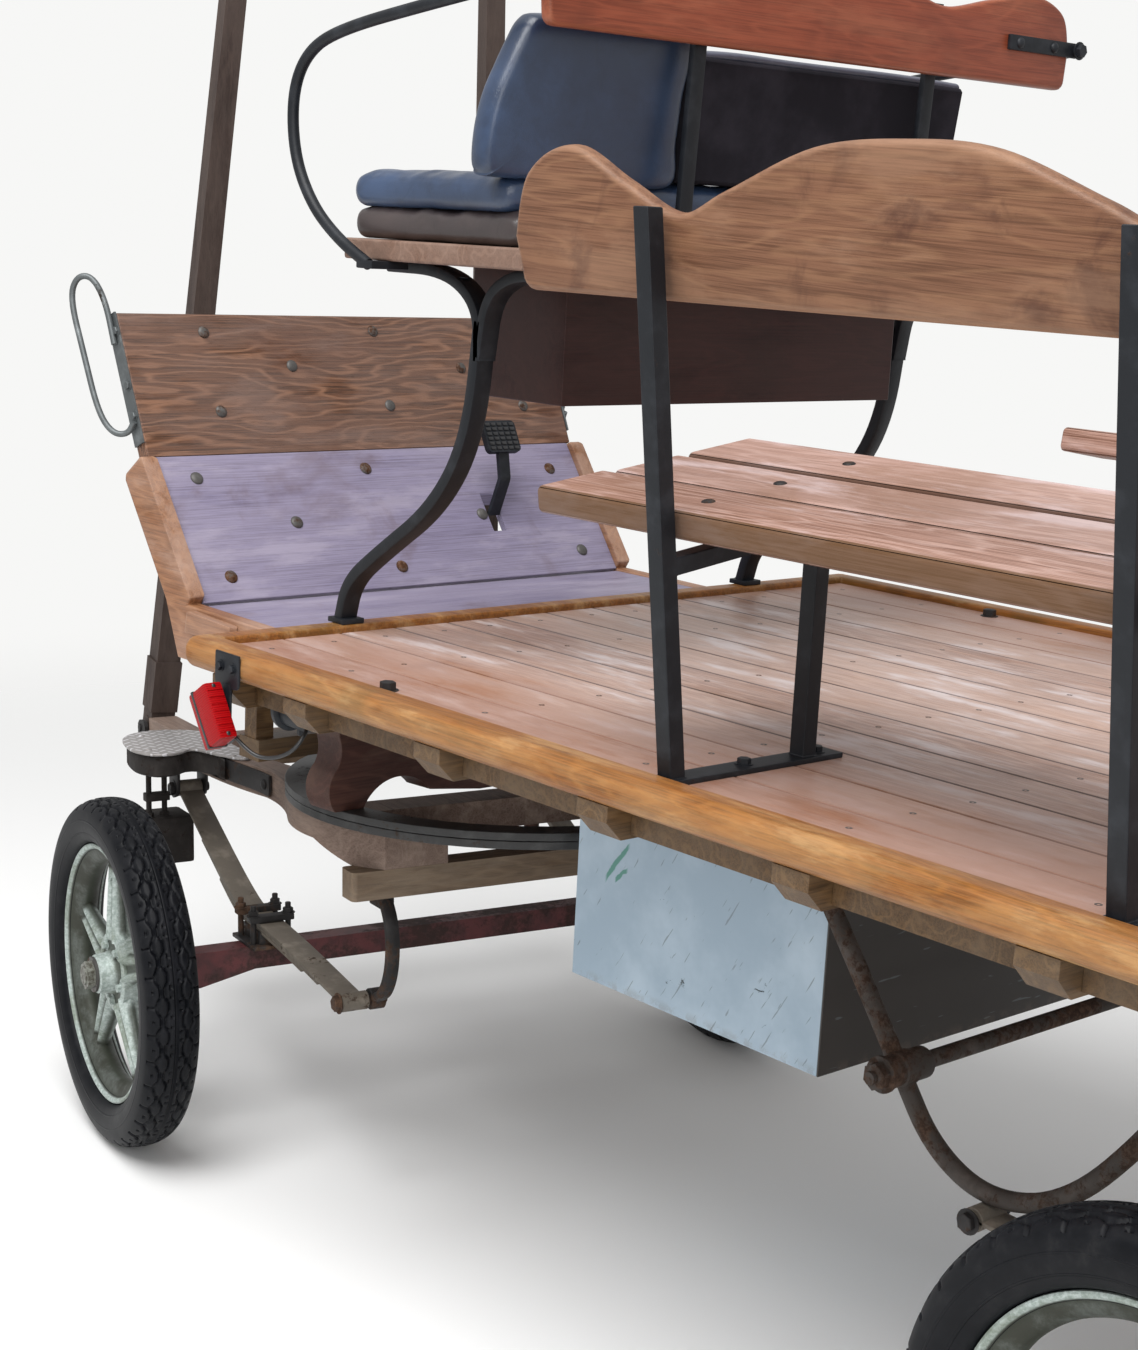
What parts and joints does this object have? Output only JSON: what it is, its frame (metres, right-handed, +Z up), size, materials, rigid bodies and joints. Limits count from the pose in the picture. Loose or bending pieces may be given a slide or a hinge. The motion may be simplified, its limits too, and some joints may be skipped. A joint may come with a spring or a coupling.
{
  "type": "horse drawn carriage",
  "caption": "Open horse-drawn wagonette with a plank deck, raised driver's seat, two side benches, turning fore-carriage, hinged shafts and rubber-tyred cast wheels.",
  "frame": {"origin": "on the ground at the middle of the bounding box's footprint", "axes": "+Z up, front of the vehicle towards -Y, its left side towards +X"},
  "size_m": [1.6535, 3.4526, 2.7846],
  "materials": {
    "deck_wood": "worn varnish",
    "grey_wood": "weathered bare wood",
    "shaft_wood": "weathered dark stain",
    "pale_wood": "worn oil",
    "red_wood": "satin dark red stain",
    "purple_paint": "worn satin paint",
    "black_iron": "satin black paint",
    "rusty_iron": "rust over old paint",
    "axle_red": "worn red oxide paint",
    "box_grey": "worn grey paint",
    "wheel_grey": "dull cast",
    "bright_steel": "dull zinc",
    "tyre_black": "matt",
    "blue_vinyl": "smooth",
    "brown_vinyl": "smooth",
    "dark_felt": "felted",
    "lamp_red": "red lens"
  },
  "bodies": {
    "carriage": {"deck_planks": "deck_wood", "deck_rail": "deck_wood", "underframe": "red_wood", "dashboard": "deck_wood", "toe_board": "purple_paint", "cheeks": "deck_wood", "grab_handles": "bright_steel", "brake_pedal": "black_iron", "seat_brackets": "black_iron", "seat_board": "deck_wood", "seat_box": "red_wood", "seat_cushion_lower": "brown_vinyl", "seat_cushion_upper": "blue_vinyl", "backrest_left": "blue_vinyl", "backrest_right": "dark_felt", "seat_irons": "black_iron", "lamps": "lamp_red", "lamp_irons": "black_iron", "upper_board": "red_wood", "bench_irons": "black_iron", "bench_seats": "pale_wood", "bench_boards": "pale_wood", "tool_box": "box_grey", "rear_bows": "rusty_iron", "upper_ring": "black_iron", "bolster": "red_wood", "rear_axle": "axle_red", "rear_springs": "rusty_iron"},
    "fore_carriage": {"lower_ring": "black_iron", "futchels": "grey_wood", "cross_beams": "grey_wood", "shaft_irons": "black_iron", "front_axle": "axle_red", "front_springs": "rusty_iron", "steps": "bright_steel"},
    "wheel_front_left": {"tyre_front_left": "tyre_black", "wheel_front_left": "wheel_grey"},
    "wheel_front_right": {"tyre_front_right": "tyre_black", "wheel_front_right": "wheel_grey"},
    "wheel_rear_left": {"tyre_rear_left": "tyre_black", "wheel_rear_left": "wheel_grey"},
    "wheel_rear_right": {"tyre_rear_right": "tyre_black", "wheel_rear_right": "wheel_grey"},
    "shaft_left": {"shaft_left": "shaft_wood"},
    "shaft_right": {"shaft_right": "shaft_wood"},
    "tool_door": {"tool_box_door": "box_grey"}
  },
  "joints": [
    {"name": "steering", "type": "hinge", "parent": "carriage", "child": "fore_carriage", "pos_m": [0.01575, -0.65638, 0.65], "axis": [0, 0, 1], "range_deg": [-27.8, 52.2]},
    {"name": "shaft_left_hinge", "type": "hinge", "parent": "fore_carriage", "child": "shaft_left", "pos_m": [0.18496, -1.69561, 0.658], "axis": [0.9774, -0.2113, 0], "range_deg": [0, 112]},
    {"name": "shaft_right_hinge", "type": "hinge", "parent": "fore_carriage", "child": "shaft_right", "pos_m": [-0.56765, -1.53289, 0.658], "axis": [0.9774, -0.2113, 0], "range_deg": [0, 112]},
    {"name": "tool_door_hinge", "type": "hinge", "parent": "carriage", "child": "tool_door", "pos_m": [-0.33625, 0.11606, 0.82479], "axis": [0, 0.999, -0.0454], "range_deg": [0, 85]},
    {"name": "front_left_spin", "type": "hinge", "parent": "fore_carriage", "child": "wheel_front_left", "pos_m": [0.59132, -1.15528, 0.325], "axis": [0.9774, -0.2113, 0], "continuous": true},
    {"name": "front_right_spin", "type": "hinge", "parent": "fore_carriage", "child": "wheel_front_right", "pos_m": [-0.71451, -0.87295, 0.325], "axis": [0.9774, -0.2113, 0], "continuous": true},
    {"name": "rear_left_spin", "type": "hinge", "parent": "carriage", "child": "wheel_rear_left", "pos_m": [0.68375, 1.15662, 0.325], "axis": [1, 0, 0], "continuous": true},
    {"name": "rear_right_spin", "type": "hinge", "parent": "carriage", "child": "wheel_rear_right", "pos_m": [-0.65225, 1.15662, 0.325], "axis": [1, 0, 0], "continuous": true}
  ]
}
